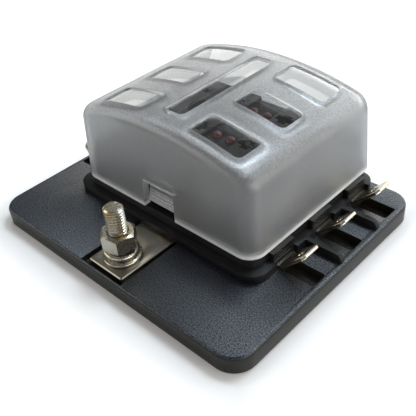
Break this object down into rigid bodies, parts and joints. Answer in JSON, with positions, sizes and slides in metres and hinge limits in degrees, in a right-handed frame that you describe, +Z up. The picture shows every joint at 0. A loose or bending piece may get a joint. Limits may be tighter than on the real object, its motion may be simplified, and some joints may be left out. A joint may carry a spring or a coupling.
{
  "type": "fuse block",
  "caption": "Blade fuse block on a flat mounting plate, with a translucent lift-off cover, a threaded supply stud and push-on output tabs along both sides",
  "frame": {"origin": "middle of the mounting plate's underside", "axes": "+X along the plate's long edge, +Y away from the supply stud, +Z up through the cover"},
  "size_m": [0.089, 0.0726, 0.0358],
  "materials": {
    "plate": "spark textured",
    "body": "satin",
    "cover": "frosted, windows clear",
    "nickel": "satin nickel",
    "zinc": "bright zinc",
    "tin": "bright tin over brass",
    "lamp": "clear red",
    "board": "solder mask",
    "chip": "ceramic"
  },
  "bodies": {
    "block": {"base_plate": "plate", "fuse_body": "body", "bus_bar": "nickel", "stud": "zinc", "led_board": "board", "led_leads": "tin", "resistors": "chip", "body_screws": "zinc", "output_terminal_1": "tin", "output_terminal_2": "tin", "output_terminal_3": "tin", "output_terminal_4": "tin", "output_terminal_5": "tin", "output_terminal_6": "tin", "bus_clip_1": "tin", "bus_clip_2": "tin", "bus_clip_3": "tin", "bus_clip_4": "tin", "bus_clip_5": "tin", "bus_clip_6": "tin", "led_1": "lamp", "led_2": "lamp", "led_3": "lamp", "led_4": "lamp", "led_5": "lamp", "led_6": "lamp"},
    "cover": {"cover": "cover"},
    "washers": {"flat_washer": "zinc", "spring_washer": "zinc"},
    "nut": {"stud_nut": "zinc"}
  },
  "joints": [
    {"name": "cover_lift", "type": "slide", "parent": "block", "child": "cover", "axis": [0, 0, 1], "range_m": [0, 0.04]},
    {"name": "washer_lift", "type": "slide", "parent": "block", "child": "washers", "axis": [0, 0, 1], "range_m": [0, 0.016]},
    {"name": "nut_turn", "type": "hinge", "parent": "washers", "child": "nut", "pos_m": [0, -0.0277, 0.011], "axis": [0, 0, 1], "range_deg": [0, 7200]}
  ],
  "couplings": [
    {"joint": "nut_turn", "follows": "washer_lift", "rad_per_m": 7854}
  ]
}
